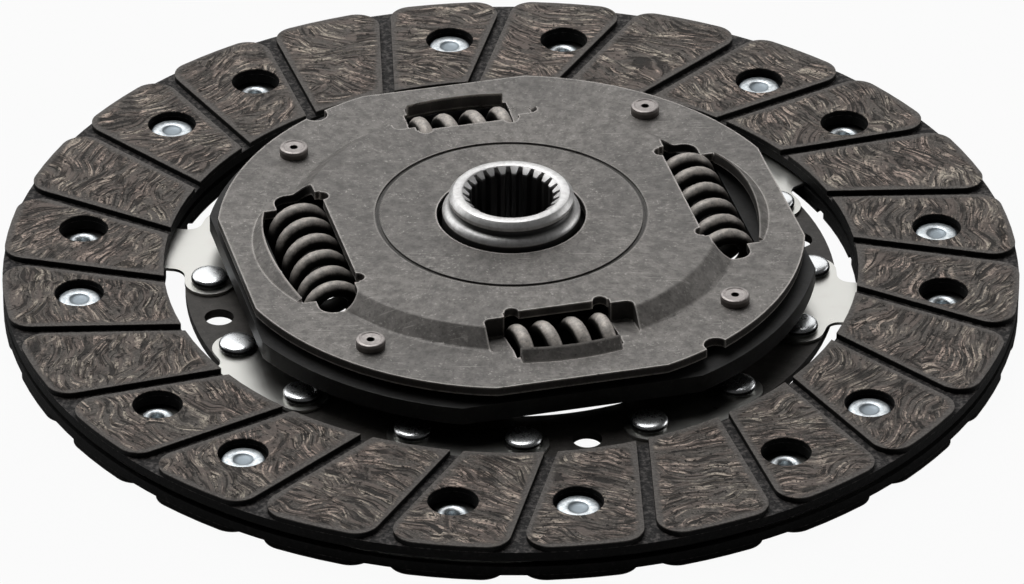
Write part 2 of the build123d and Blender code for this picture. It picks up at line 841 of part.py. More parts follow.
with BuildPart() as disc_spring:
    with BuildSketch(Plane.XZ):
        with BuildLine():
            Polyline(
                (disc_spring_radius, washer_top),
                (disc_spring_radius, washer_top + disc_spring_thickness),
                (disc_spring_inner_radius, cover_ceiling),
                (disc_spring_inner_radius, cover_ceiling - disc_spring_thickness),
                close=True,
            )
        make_face()
    revolve(axis=Axis.Z)
save(disc_spring, "disc_spring")


# Damper springs: right-handed wire with closed, ground ends
def coil_spring(length, wire, turns):
    """A spring lying along Y and centred on the origin."""
    open_turns = turns - 2 * closed_turns
    pitch = (length - (2 * closed_turns + 1 / 2) * wire) / open_turns
    coil_radius = spring_outer_radius - wire / 2
    steps = round(points_per_turn * turns)
    centre_line = []
    for step in range(steps + 1):
        turn = turns * step / steps
        end_turns = min(turn, closed_turns) + max(turn - closed_turns - open_turns, 0)
        along = (end_turns + 1 / 4) * wire + (turn - end_turns) * pitch - length / 2
        swing = 2 * pi * (turn + 1 / 4)
        centre_line.append((coil_radius * cos(swing), along, -coil_radius * sin(swing)))
    with BuildPart() as spring:
        with BuildLine() as path:
            wire_line = Spline(*centre_line)
        with BuildSketch(Plane(wire_line @ 0, z_dir=wire_line % 0)):
            Circle(wire / 2)
        sweep(path=path.line, is_frenet=True)
        Box(
            3 * spring_outer_radius, length, 3 * spring_outer_radius, mode=Mode.INTERSECT
        )
    return spring.part


long_spring = coil_spring(long_spring_length, long_spring_wire, long_spring_turns)
short_spring = coil_spring(short_spring_length, short_spring_wire, short_spring_turns)
for index in range(window_count):
    size = half_of(index, "long", "short")
    with BuildPart(Plane.XY.offset(spring_height)) as damper_spring:
        with PolarLocations(spring_place, 1, window_angle + window_pitch * index):
            add(half_of(index, long_spring, short_spring))
    save(damper_spring, f"{size}_spring_{index // 2 + 1}")
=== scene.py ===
import json
import math

import bpy
from mathutils import Matrix

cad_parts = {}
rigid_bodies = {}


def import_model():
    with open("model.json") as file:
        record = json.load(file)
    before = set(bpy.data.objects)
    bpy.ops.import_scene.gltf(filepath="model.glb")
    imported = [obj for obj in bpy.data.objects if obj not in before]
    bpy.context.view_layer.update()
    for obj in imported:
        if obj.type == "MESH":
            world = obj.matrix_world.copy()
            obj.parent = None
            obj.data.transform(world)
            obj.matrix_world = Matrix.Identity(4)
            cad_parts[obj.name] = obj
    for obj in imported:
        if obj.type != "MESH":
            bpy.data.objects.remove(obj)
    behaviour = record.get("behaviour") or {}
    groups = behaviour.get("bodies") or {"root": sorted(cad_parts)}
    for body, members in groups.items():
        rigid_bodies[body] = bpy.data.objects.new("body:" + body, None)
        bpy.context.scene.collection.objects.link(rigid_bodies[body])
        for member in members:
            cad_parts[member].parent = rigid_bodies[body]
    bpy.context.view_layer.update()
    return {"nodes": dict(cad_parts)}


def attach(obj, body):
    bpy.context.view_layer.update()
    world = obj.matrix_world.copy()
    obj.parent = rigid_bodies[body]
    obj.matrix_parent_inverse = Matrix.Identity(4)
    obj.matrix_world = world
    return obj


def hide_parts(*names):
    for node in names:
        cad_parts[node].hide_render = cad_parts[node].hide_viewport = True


for leftover in list(bpy.data.objects):
    bpy.data.objects.remove(leftover)
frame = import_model()
cad = frame["nodes"]

MM = 0.001

# Sizes in millimetres and angles in degrees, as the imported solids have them
FACING_OUTER, FACING_INNER = 107.5, 73.5
FACING_FRONT, GROOVE_FLOOR = 8.1, 6.8
GROOVE_OFFSET, GROOVE_START, PADS = 24.0, -87.5, 24
RIVET_PLACE, HEADS_UP, HEADS_DOWN = 91.75, 98.7, 82.85
PIN_PLACE, PIN_ANGLE = 54.8, 58.3
WINDOW_ANGLE = 14.5
SPRING_PLACE, SPRING_HEIGHT, SPRING_RADIUS = 42.4, 11.7, 6.95
RING_GROOVE, RING_GROOVE_LEVEL = 28.25, 18.5
LONG_LENGTH, LONG_WIRE, LONG_TURNS = 36.5, 3.4, 6.0
SHORT_LENGTH, SHORT_WIRE, SHORT_TURNS = 22.5, 3.3, 4.0
SEGMENTS, FIRST_NECK = 8, 217.1
SEGMENT_RIVET_PLACE, SEGMENT_RIVET_SIDE = 63.8, 10.4
SPLINE_TEETH, SPLINE_START = 24, 4.0
SPACE_MIDDLE, SPACE_DEPTH, SPACE_MOUTH, SPACE_FOOT = 9.125, 2.25, 1.9, 0.72
EDGE_WEAR_AND_HIGHLIGHT_RADIUS = 0.7

# Colours of the moulded yarn, its border, and the grooves
RESIN_DARK, RESIN_LIGHT = (0.076, 0.066, 0.059, 1), (0.134, 0.120, 0.108, 1)
RESIN_WORN, WIDE_YARN = (0.25, 0.222, 0.195, 1), (0.245, 0.195, 0.17, 1)
PINK_YARN, TAN_YARN = (0.80, 0.63, 0.54, 1), (0.80, 0.71, 0.59, 1)
YARN_SHADOW, PIT_BLACK = (0.020, 0.017, 0.015, 1), (0.012, 0.010, 0.009, 1)
BORDER_DARK, BORDER_LIGHT = (0.115, 0.105, 0.097, 1), (0.215, 0.197, 0.182, 1)
GROOVE_DARK, GROOVE_SCRAPED = (0.016, 0.015, 0.015, 1), (0.14, 0.128, 0.122, 1)
# Facing walls: painted shade, a near-black colour in place of the resin's own colour
WALL_PAINTED_SHADE_DARK, WALL_PAINTED_SHADE_LIGHT = (0.006, 0.006, 0.006, 1), (0.020, 0.018, 0.018, 1)


# Small modelling steps, each as it is done by hand


def only(piece):
    bpy.ops.object.select_all(action="DESELECT")
    piece.select_set(True)
    bpy.context.view_layer.objects.active = piece


def settle(piece):
    """Puts the piece's place, turn and size into its mesh."""
    only(piece)
    bpy.ops.object.transform_apply(location=True, rotation=True, scale=True)


def block(name, centre, size):
    bpy.ops.object.select_all(action="DESELECT")
    bpy.ops.mesh.primitive_cube_add(
        size=1, location=[c * MM for c in centre], scale=[s * MM for s in size]
    )
    piece = bpy.context.object
    piece.name = name
    settle(piece)
    return piece


def shift(piece, x=0.0, z=0.0):
    piece.location = (x * MM, 0, z * MM)
    settle(piece)


def swing(piece, angle):
    """Turns the piece about the shaft axis."""
    piece.rotation_euler = (0, 0, math.radians(angle))
    settle(piece)


def twin(piece, name):
    """A copy with its own mesh."""
    only(piece)
    bpy.ops.object.duplicate(linked=False)
    copy = bpy.context.object
    copy.name = name
    return copy


def weld(name, pieces):
    """Joins several pieces into one object."""
    bpy.ops.object.select_all(action="DESELECT")
    for piece in pieces:
        piece.select_set(True)
    bpy.context.view_layer.objects.active = pieces[0]
    bpy.ops.object.join()
    whole = bpy.context.object
    whole.name = name
    return whole


def ring_of(name, first, angles):
    """Copies of a piece at several angles about the shaft axis, joined; the first is used up."""
    copies = []
    for angle in angles:
        copy = twin(first, name)
        swing(copy, angle)
        copies.append(copy)
    bpy.data.objects.remove(first)
    return weld(name, copies)


def finish_with(piece, kind, **settings):
    """Adds a modifier and applies it."""
    only(piece)
    modifier = piece.modifiers.new(kind.title(), kind)
    for key, value in settings.items():
        setattr(modifier, key, value)
    bpy.ops.object.modifier_apply(modifier=modifier.name)


def cut(piece, tool):
    """Cuts the tool's shape out of the piece and throws the tool away."""
    finish_with(piece, "BOOLEAN", operation="DIFFERENCE", object=tool, solver="EXACT")
    bpy.data.objects.remove(tool)


def soften(piece, width, angle):
    """Rounds the sharp edges a little and shades the piece smooth."""
    finish_with(
        piece,
        "BEVEL",
        width=width * MM,
        segments=2,
        limit_method="ANGLE",
        angle_limit=math.radians(angle),
        use_clamp_overlap=True,
    )
    smooth(piece)
    finish_with(piece, "WEIGHTED_NORMAL", keep_sharp=True, weight=90)


def smooth(piece, angle=35.0):
    only(piece)
    bpy.ops.object.shade_smooth_by_angle(angle=math.radians(angle))


def turned(name, profile, count=96, hollow=False):
    """A turned piece: a ring that is extruded and resized from step to step of its profile."""
    radius, height = profile[0]
    bpy.ops.object.select_all(action="DESELECT")
    bpy.ops.mesh.primitive_circle_add(
        vertices=count, radius=radius * MM, location=(0, 0, height * MM)
    )
    piece = bpy.context.object
    piece.name = name
    settle(piece)
    bpy.context.tool_settings.mesh_select_mode = (True, False, False)
    bpy.ops.object.mode_set(mode="EDIT")
    bpy.ops.mesh.select_all(action="SELECT")
    for next_radius, next_height in profile[1:]:
        rise = (0, 0, (next_height - height) * MM)
        bpy.ops.mesh.extrude_edges_move(TRANSFORM_OT_translate={"value": rise})
        ratio = next_radius / radius
        bpy.ops.transform.resize(
            value=(ratio, ratio, 1), center_override=(0, 0, next_height * MM)
        )
        radius, height = next_radius, next_height
    bpy.ops.mesh.select_all(action="DESELECT")
    bpy.ops.mesh.select_non_manifold()
    if hollow:
        bpy.ops.mesh.bridge_edge_loops()
    else:
        bpy.ops.mesh.fill_holes(sides=0)
    bpy.ops.mesh.select_all(action="SELECT")
    bpy.ops.mesh.remove_doubles(threshold=0.000002)
    bpy.ops.mesh.normals_make_consistent(inside=False)
    bpy.ops.object.mode_set(mode="OBJECT")
    return piece


def pressed_copy(node, name):
    """A copy of a CAD node's mesh, merged and with its flat faces joined, ready for bevels."""
    copy = cad[node].copy()
    copy.data = cad[node].data.copy()
    copy.name = name
    copy.parent = None
    copy.matrix_world = Matrix.Identity(4)
    bpy.context.scene.collection.objects.link(copy)
    copy.data.materials.clear()
    only(copy)
    bpy.ops.object.mode_set(mode="EDIT")
    bpy.ops.mesh.select_all(action="SELECT")
    bpy.ops.mesh.customdata_custom_splitnormals_clear()
    bpy.ops.mesh.remove_doubles(threshold=0.000004)
    bpy.ops.mesh.dissolve_limited(angle_limit=math.radians(0.5))
    bpy.ops.mesh.normals_make_consistent(inside=False)
    bpy.ops.object.mode_set(mode="OBJECT")
    return copy


def dress(piece, material):
    piece.data.materials.clear()
    piece.data.materials.append(material)


# Materials: small helpers that place nodes, and the shared effects as node groups


class Wiring:
    """Places shader nodes in a tree and joins them."""

    def __init__(self, tree):
        self.tree = tree

    def add(self, kind, inputs=None, **settings):
        node = self.tree.nodes.new(kind)
        for key, value in settings.items():
            setattr(node, key, value)
        for key, value in (inputs or {}).items():
            self.set(node, key, value)
        return node

    def set(self, node, key, value):
        socket = node.inputs[key]
        if isinstance(value, bpy.types.NodeSocket):
            self.tree.links.new(value, socket)
        else:
            socket.default_value = value

    def math(self, operation, first, second=0.0, third=0.0):
        node = self.add("ShaderNodeMath", operation=operation)
        for index, value in enumerate((first, second, third)):
            self.set(node, index, value)
        return node.outputs[0]

    def vector(self, operation, first, second=(0, 0, 0)):
        node = self.add("ShaderNodeVectorMath", operation=operation)
        self.set(node, 0, first)
        if operation == "SCALE":
            self.set(node, "Scale", second)
        else:
            self.set(node, 1, second)
        return node.outputs["Value" if operation == "LENGTH" else "Vector"]

    def noise(self, place, scale, detail=2.0, roughness=0.5, color=False):
        node = self.add(
            "ShaderNodeTexNoise",
            {"Vector": place, "Scale": scale, "Detail": detail, "Roughness": roughness},
        )
        return node.outputs["Color" if color else "Fac"]

    def band(self, value, low, high):
        """0 below low, 1 above high, smooth between."""
        node = self.add(
            "ShaderNodeMapRange",
            {"Value": value, "From Min": low, "From Max": high},
            interpolation_type="SMOOTHSTEP",
        )
        return node.outputs["Result"]

    def mix(self, mask, first, second, blend="MIX"):
        node = self.add("ShaderNodeMix", data_type="RGBA", blend_type=blend)
        self.set(node, 0, mask)
        self.set(node, 6, first)
        self.set(node, 7, second)
        return node.outputs[2]

    def blend(self, mask, first, second):
        node = self.add("ShaderNodeMix", data_type="FLOAT")
        self.set(node, 0, mask)
        self.set(node, 2, first)
        self.set(node, 3, second)
        return node.outputs[0]

    def group(self, group, **inputs):
        node = self.add("ShaderNodeGroup", node_tree=group)
        for key, value in inputs.items():
            self.set(node, key.replace("_", " "), value)
        return node.outputs

    def place_mm(self):
        """Object coordinates in millimetres."""
        coordinates = self.add("ShaderNodeTexCoord").outputs["Object"]
        return self.vector("SCALE", coordinates, 1000.0)

    def split(self, vector):
        return self.add("ShaderNodeSeparateXYZ", {"Vector": vector}).outputs

    def combine(self, x=0.0, y=0.0, z=0.0):
        return self.add("ShaderNodeCombineXYZ", {"X": x, "Y": y, "Z": z}).outputs[0]

    def normal(self):
        return self.add("ShaderNodeNewGeometry").outputs["Normal"]


FLOAT, VECTOR = "NodeSocketFloat", "NodeSocketVector"


def shared_effect(name, inputs, outputs):
    group = bpy.data.node_groups.new(name, "ShaderNodeTree")
    for label, kind, value in inputs:
        socket = group.interface.new_socket(label, in_out="INPUT", socket_type=kind)
        if value is not None:
            socket.default_value = value
    for label, kind in outputs:
        group.interface.new_socket(label, in_out="OUTPUT", socket_type=kind)
    wiring = Wiring(group)
    start = wiring.add("NodeGroupInput").outputs
    end = wiring.add("NodeGroupOutput")
    return group, wiring, start, end


def make_polar():
    """Radius, angle and height of a point about the shaft axis, in millimetres and degrees."""
    group, w, start, end = shared_effect(
        "Polar place",
        [("Place", VECTOR, None)],
        [("Radius", FLOAT), ("Angle", FLOAT), ("Height", FLOAT)],
    )
    x, y, z = w.split(start["Place"])
    radius = w.vector("LENGTH", w.combine(x, y, 0.0))
    angle = w.math("MULTIPLY", w.math("ARCTAN2", y, x), math.degrees(1))
    w.set(end, "Radius", radius)
    w.set(end, "Angle", angle)
    w.set(end, "Height", z)
    return group


def make_speckle():
    """Fine light and dark grains of a phosphated or worn steel skin."""
    group, w, start, end = shared_effect(
        "Phosphate speckle",
        [
            ("Place", VECTOR, None),
            ("Grain", FLOAT, 2.0),
            ("Amount", FLOAT, 0.5),
        ],
        [("Light", FLOAT), ("Dark", FLOAT), ("Height", FLOAT)],
    )
    fine = w.noise(start["Place"], start["Grain"], detail=4.0, roughness=0.65)
    coarse = w.noise(start["Place"], w.math("MULTIPLY", start["Grain"], 0.12), detail=3.0)
    light = w.math("MULTIPLY", w.band(fine, 0.55, 0.72), w.band(coarse, 0.34, 0.66))
    dark = w.math("MULTIPLY", w.band(fine, 0.46, 0.32), w.band(coarse, 0.7, 0.35))
    w.set(end, "Light", w.math("MULTIPLY", light, start["Amount"]))
    w.set(end, "Dark", w.math("MULTIPLY", dark, start["Amount"]))
    w.set(end, "Height", fine)
    return group


def make_scratches():
    """Thin, faint scratches: long stretched grains in three directions, broken up by patches."""
    group, w, start, end = shared_effect(
        "Fine scratches",
        [("Place", VECTOR, None), ("Amount", FLOAT, 0.5)],
        [("Mask", FLOAT)],
    )
    masks = []
    for turn, along, across in ((0.5, 0.10, 2.6), (-0.9, 0.14, 3.2), (1.9, 0.12, 2.9)):
        turned_place = w.add(
            "ShaderNodeMapping",
            {"Vector": start["Place"], "Rotation": (0, 0, turn), "Scale": (along, across, 0.2)},
        ).outputs[0]
        lines = w.band(w.noise(turned_place, 1.0, detail=1.0, roughness=0.4), 0.66, 0.74)
        patches = w.band(w.noise(start["Place"], 0.09 + turn * 0.01, detail=2.0), 0.5, 0.66)
        masks.append(w.math("MULTIPLY", lines, patches))
    both = w.math("MAXIMUM", w.math("MAXIMUM", masks[0], masks[1]), masks[2])
    w.set(end, "Mask", w.math("MULTIPLY", both, start["Amount"]))
    return group


def make_yarn():
    """Short bundles of yarn: each patch of the moulding has its own lie of the strands."""
    group, w, start, end = shared_effect(
        "Yarn bundles",
        [
            ("Place", VECTOR, None),
            ("Patch", FLOAT, 0.07),
            ("Spread", FLOAT, 1.2),
            ("Width", FLOAT, 1.0),
        ],
        [("Wide", FLOAT), ("Thin", FLOAT), ("Dark", FLOAT)],
    )
    bend = w.noise(start["Place"], 0.060, detail=1.5, color=True)
    bend = w.vector("SCALE", w.vector("SUBTRACT", bend, (0.5, 0.5, 0.5)), 15.0)
    bent = w.vector("MULTIPLY", w.vector("ADD", start["Place"], bend), (1.0, 1.0, 0.0))
    patches = w.add(
        "ShaderNodeTexVoronoi",
        {"Vector": bent, "Scale": start["Patch"], "Randomness": 1.0},
        voronoi_dimensions="2D",
    ).outputs
    luck = w.split(patches["Color"])
    turn = w.math("MULTIPLY", w.math("SUBTRACT", luck[0], 0.5), start["Spread"])
    lying = w.add(
        "ShaderNodeVectorRotate", {"Vector": bent, "Angle": turn}, rotation_type="Z_AXIS"
    ).outputs[0]
    lying = w.vector("ADD", lying, w.vector("SCALE", patches["Color"], 90.0))

    def strands(along, across, seed, low, high, detail):
        stretched = w.vector("MULTIPLY", lying, (along, across, 1.0))
        stretched = w.vector("SCALE", stretched, start["Width"])
        stretched = w.vector("ADD", stretched, (seed, seed, seed))
        return w.band(w.noise(stretched, 1.0, detail=detail, roughness=0.6), low, high)

    w.set(end, "Wide", strands(0.080, 0.55, 3.0, 0.46, 0.60, 4.0))
    w.set(end, "Thin", strands(0.120, 1.15, 11.0, 0.51, 0.585, 4.0))
    w.set(end, "Dark", strands(0.130, 1.00, 23.0, 0.51, 0.585, 4.0))
    return group


def make_turning_marks():
    """Fine rings left by a lathe: grains that depend on radius and height only."""
    group, w, start, end = shared_effect(
        "Turning marks",
        [("Radius", FLOAT, 0.0), ("Height", FLOAT, 0.0)],
        [("Mask", FLOAT)],
    )
    place = w.combine(start["Radius"], 0.0, start["Height"])
    w.set(end, "Mask", w.noise(place, 9.0, detail=3.0, roughness=0.6))
    return group


POLAR = make_polar()
SPECKLE = make_speckle()
SCRATCHES = make_scratches()
YARN = make_yarn()
TURNING = make_turning_marks()


def new_material(name, metallic=0.0, roughness=0.5, **plain):
    material = bpy.data.materials.new(name)
    material.use_nodes = True
    wiring = Wiring(material.node_tree)
    skin = material.node_tree.nodes["Principled BSDF"]
    skin.inputs["Metallic"].default_value = metallic
    skin.inputs["Roughness"].default_value = roughness
    for key, value in plain.items():
        skin.inputs[key.replace("_", " ")].default_value = value
    return material, wiring, skin


def bump(wiring, skin, height, strength, distance):
    node = wiring.add(
        "ShaderNodeBump", {"Height": height, "Strength": strength, "Distance": distance}
    )
    wiring.set(skin, "Normal", node.outputs[0])


def grey(value, warm=0.0):
    return (value * (1 + warm), value, value * (1 - warm), 1.0)


def facing_material(name, front, floor, front_side):
    """Moulded yarn facing: bundles of tan yarn in dark resin, walls painted near black as shade,
    scraped groove floors.
    """
    material, w, skin = new_material(name, roughness=0.72, Specular_IOR_Level=0.25)
    place = w.place_mm()
    polar = w.group(POLAR, Place=place)
    radius, angle, height = polar["Radius"], polar["Angle"], polar["Height"]

    # the lie of the groove through each point tells its pad and its distance to the pad's edge
    slant = w.math("ARCSINE", w.math("DIVIDE", GROOVE_OFFSET, radius))
    slant_degrees = w.math("MULTIPLY", slant, math.degrees(1))
    if front_side:
        groove_angle = w.math("SUBTRACT", angle, slant_degrees)
        start = GROOVE_START
    else:
        groove_angle = w.math("ADD", angle, slant_degrees)
        start = HEADS_UP + HEADS_DOWN - GROOVE_START
    steps = w.math("DIVIDE", w.math("SUBTRACT", groove_angle, start), 360 / PADS)
    steps = w.math("WRAP", steps, PADS, 0.0)
    pad = w.math("FLOOR", steps)
    across = w.math("PINGPONG", steps, 0.5)
    across = w.math("MULTIPLY", across, w.math("MULTIPLY", radius, math.radians(360 / PADS)))
    across = w.math("MULTIPLY", across, w.math("COSINE", slant))
    rim = w.math("SUBTRACT", FACING_OUTER, radius)
    root = w.math("SUBTRACT", radius, FACING_INNER)
    edge = w.math("SMOOTH_MIN", w.math("SUBTRACT", across, 1.3), rim, 4.0)
    edge = w.math("SMOOTH_MIN", edge, root, 4.0)
    luck = w.add("ShaderNodeTexWhiteNoise", {"W": pad}, noise_dimensions="1D")
    lie = w.math("MULTIPLY_ADD", luck.outputs["Value"], 44.0, -22.0)

    # turn the coordinates so that X runs along the yarn of this pad
    middle = w.math("ADD", w.math("MULTIPLY", w.math("ADD", pad, 0.5), 360 / PADS), start)
    turn = w.math("ADD", w.math("ADD", middle, 90.0), lie)
    spun = w.add(
        "ShaderNodeVectorRotate",
        {"Vector": place, "Angle": w.math("MULTIPLY", turn, -math.radians(1))},
        rotation_type="Z_AXIS",
    ).outputs[0]
    spun = w.vector("ADD", spun, w.vector("SCALE", luck.outputs["Color"], 400.0))
    long_yarn = w.group(YARN, Place=spun, Patch=0.045, Spread=0.6, Width=1.0)
    other_place = w.vector("ADD", spun, (57.0, 31.0, 0.0))
    short_yarn = w.group(YARN, Place=other_place, Patch=0.070, Spread=1.3, Width=1.2)
    cloud = w.noise(spun, 0.09, detail=3.0, roughness=0.55)
    grain = w.noise(place, 1.6, detail=4.0, roughness=0.7)
    crossing = w.band(w.noise(spun, 0.13, detail=2.0), 0.44, 0.60)
    inner = w.band(w.math("ADD", edge, w.math("MULTIPLY", cloud, 4.0)), 2.0, 3.6)
    bundles = w.math("MULTIPLY", inner, w.band(w.noise(spun, 0.20, detail=3.0), 0.38, 0.54))
    bundles = w.math("MULTIPLY", bundles, w.band(grain, 0.36, 0.52))
    pits = w.band(w.noise(spun, 0.95, detail=3.0, roughness=0.6), 0.60, 0.65)
    pits = w.math("MULTIPLY", pits, inner)

    resin = w.mix(w.band(cloud, 0.36, 0.62), RESIN_DARK, RESIN_LIGHT)
    resin = w.mix(w.math("MULTIPLY", w.band(grain, 0.44, 0.66), 0.75), resin, RESIN_WORN)
    wide = w.math("MULTIPLY", w.blend(crossing, long_yarn["Wide"], short_yarn["Wide"]), inner)
    thin = w.math("MULTIPLY", w.blend(crossing, long_yarn["Thin"], short_yarn["Thin"]), bundles)
    dark = w.math("MULTIPLY", w.blend(crossing, long_yarn["Dark"], short_yarn["Dark"]), inner)
    lit = w.mix(w.band(cloud, 0.35, 0.65), PINK_YARN, TAN_YARN)
    top = w.mix(w.math("MULTIPLY", wide, 0.60), resin, WIDE_YARN)
    top = w.mix(w.math("MULTIPLY", thin, 0.95), top, lit)
    top = w.mix(w.math("MULTIPLY", dark, 0.86), top, YARN_SHADOW)
    top = w.mix(w.math("MULTIPLY", pits, 0.9), top, PIT_BLACK)
    border = w.mix(w.band(grain, 0.35, 0.7), BORDER_DARK, BORDER_LIGHT)
    at_border = w.band(w.math("ADD", edge, w.math("MULTIPLY", cloud, 2.0)), 2.8, 1.4)
    top = w.mix(at_border, top, border)

    scrape = w.noise(place, 0.9, detail=4.0, roughness=0.65)
    floor_colour = w.mix(w.band(scrape, 0.42, 0.70), GROOVE_DARK, GROOVE_SCRAPED)
    # painted shade: every wall that is neither pad top nor groove floor gets a near-black colour
    painted_shade_wall = w.mix(w.band(scrape, 0.5, 0.75), WALL_PAINTED_SHADE_DARK, WALL_PAINTED_SHADE_LIGHT)
    side = 1.0 if front_side else -1.0
    above = w.math("MULTIPLY", w.math("SUBTRACT", height, front), side)
    on_top = w.band(above, -0.34, -0.10)
    on_floor = w.math("COMPARE", height, floor, 0.06)
    colour = w.mix(on_floor, painted_shade_wall, floor_colour)
    colour = w.mix(on_top, colour, top)
    w.set(skin, "Base Color", colour)
    relief = w.math("SUBTRACT", w.math("ADD", thin, wide), w.math("MULTIPLY", dark, 1.8))
    relief = w.math("ADD", w.math("MULTIPLY", relief, on_top), w.math("MULTIPLY", grain, 0.8))
    bump(w, skin, relief, 0.6, 0.00022)
    w.set(skin, "Roughness", w.blend(thin, 0.66, 0.82))
    return material


def pressing_wear_and_painted_light(w, colour, place, mottle, base, light, warm):
    """Painted shade on upright walls, pale edges that are partly edge wear and partly a painted
    highlight, and a darker ring groove, over a plate's colour.
    """
    rounded = w.add("ShaderNodeBevel", {"Radius": EDGE_WEAR_AND_HIGHLIGHT_RADIUS * MM}, samples=4).outputs[0]
    normal = w.normal()
    # painted shade: faces that stand upright get a much darker colour
    upright_painted_shade = w.band(w.math("ABSOLUTE", w.split(normal)[2]), 0.55, 0.30)
    colour = w.mix(w.math("MULTIPLY", upright_painted_shade, 0.85), colour, grey(base * 0.22, warm))
    # pale edge line: partly edge wear, partly a painted highlight in place of light caught on the
    # bevel
    aligned = w.add("ShaderNodeVectorMath", {0: rounded, 1: normal}, operation="DOT_PRODUCT")
    pale_wear_and_painted_light = w.band(aligned.outputs["Value"], 0.992, 0.92)
    pale_wear_and_painted_light = w.math("MULTIPLY", pale_wear_and_painted_light, w.band(mottle, 0.28, 0.46))
    colour = w.mix(w.math("MULTIPLY", pale_wear_and_painted_light, 0.85), colour, grey(light * 1.3, warm))
    polar = w.group(POLAR, Place=place)
    # the ring groove is made darker in colour
    off_groove = w.math("ABSOLUTE", w.math("SUBTRACT", polar["Radius"], RING_GROOVE))
    raised = w.math("GREATER_THAN", polar["Height"], RING_GROOVE_LEVEL)
    groove_darkening = w.math("MULTIPLY", w.band(off_groove, 0.95, 0.35), raised)
    return w.mix(w.math("MULTIPLY", groove_darkening, 0.8), colour, grey(base * 0.12, warm))


def phosphate_material(
    name,
    base,
    light,
    warm=0.03,
    roughness=0.5,
    amount=0.5,
    scratch=0.5,
    metallic=0.35,
    add_wear_and_painted_light=False,
):
    """Dark phosphated sheet steel with speckle, stains and faint scratches."""
    material, w, skin = new_material(
        name, metallic=metallic, roughness=roughness, Specular_IOR_Level=0.35
    )
    place = w.place_mm()
    grains = w.group(SPECKLE, Place=place, Grain=1.7, Amount=amount)
    elsewhere = w.vector("ADD", place, (40.0, 7.0, 0.0))
    broad = w.group(SPECKLE, Place=elsewhere, Grain=0.6, Amount=amount)
    mottle = w.noise(place, 0.42, detail=5.0, roughness=0.7)
    lines = w.group(SCRATCHES, Place=place, Amount=scratch)["Mask"]
    stain = w.noise(place, 0.035, detail=4.0, roughness=0.6)
    colour = w.mix(w.band(stain, 0.35, 0.68), grey(base * 0.80, warm), grey(base * 1.16, warm))
    mottled = w.mix(w.band(mottle, 0.34, 0.64), grey(0.66), grey(1.22))
    colour = w.mix(amount, colour, mottled, blend="MULTIPLY")
    colour = w.mix(broad["Light"], colour, grey((base + light) / 2, warm))
    colour = w.mix(grains["Dark"], colour, grey(base * 0.45, warm))
    colour = w.mix(grains["Light"], colour, grey(light, warm))
    colour = w.mix(lines, colour, grey(light * 1.1, warm))
    if add_wear_and_painted_light:
        colour = pressing_wear_and_painted_light(w, colour, place, mottle, base, light, warm)
    w.set(skin, "Base Color", colour)
    rough = w.blend(w.band(stain, 0.3, 0.7), roughness - 0.06, roughness + 0.08)
    w.set(skin, "Roughness", rough)
    relief = w.math("SUBTRACT", grains["Height"], w.math("MULTIPLY", lines, 0.3))
    bump(w, skin, relief, 0.25, 0.00008)
    return material


def bright_material(name, colour, roughness, dark, wear=0.35, grain=1.4, painted_side_shade=0.0):
    """Bare or plated steel, a little uneven, with painted shade on upright sides where it is
    wanted.
    """
    material, w, skin = new_material(name, metallic=1.0, roughness=roughness)
    place = w.place_mm()
    patches = w.noise(place, grain, detail=4.0, roughness=0.6)
    spots = w.math("MULTIPLY", w.band(patches, 0.55, 0.75), wear)
    colour = w.mix(spots, colour, dark)
    # painted shade: upright faces get a near-black colour
    sides = w.band(w.math("ABSOLUTE", w.split(w.normal())[2]), 0.50, 0.25)
    colour = w.mix(w.math("MULTIPLY", sides, painted_side_shade), colour, grey(0.012))
    w.set(skin, "Base Color", colour)
    w.set(skin, "Roughness", w.blend(patches, roughness * 0.75, roughness * 1.35))
    bump(w, skin, patches, 0.12, 0.00005)
    return material


def spring_material(name, pale_wear_and_painted_light):
    """Spring wire: painted light, a pale colour high on the outer side of each coil, and painted
    shade, near black, below it and between the turns.
    """
    material, w, skin = new_material(name, metallic=0.3, roughness=0.52, Specular_IOR_Level=0.35)
    place = w.place_mm()
    polar = w.group(POLAR, Place=place)
    swing_angle = w.math("WRAP", w.math("SUBTRACT", polar["Angle"], WINDOW_ANGLE), 45.0, -45.0)
    swing_angle = w.math("MULTIPLY", swing_angle, math.radians(1))
    outwards = w.math("MULTIPLY", polar["Radius"], w.math("COSINE", swing_angle))
    outwards = w.math("SUBTRACT", outwards, SPRING_PLACE)
    upwards = w.math("SUBTRACT", polar["Height"], SPRING_HEIGHT)
    reach = w.vector("LENGTH", w.combine(outwards, upwards, 0.0))
    patches = w.noise(place, 0.7, detail=4.0, roughness=0.7)
    reach = w.math("ADD", reach, w.math("MULTIPLY", w.math("SUBTRACT", patches, 0.5), 0.8))
    # painted light and shade: pale only high on the coil's outer side and where the normal points
    # up, near black elsewhere
    painted_lit_top = w.math("MULTIPLY", w.band(reach, 5.65, 6.45), w.band(upwards, 0.5, 3.0))
    painted_lit_top = w.math("MULTIPLY", painted_lit_top, w.band(w.split(w.normal())[2], 0.12, 0.62))
    grains = w.group(SPECKLE, Place=place, Grain=2.0, Amount=0.8)
    painted_lit_colour = w.mix(w.band(patches, 0.35, 0.65), grey(pale_wear_and_painted_light * 0.72, 0.07), grey(pale_wear_and_painted_light * 1.1, 0.09))
    painted_lit_colour = w.mix(grains["Dark"], painted_lit_colour, grey(pale_wear_and_painted_light * 0.4, 0.08))
    painted_lit_colour = w.mix(grains["Light"], painted_lit_colour, grey(min(pale_wear_and_painted_light * 1.5, 0.9), 0.05))
    w.set(skin, "Base Color", w.mix(painted_lit_top, grey(0.018, 0.08), painted_lit_colour))
    bump(w, skin, grains["Height"], 0.3, 0.00008)
    return material


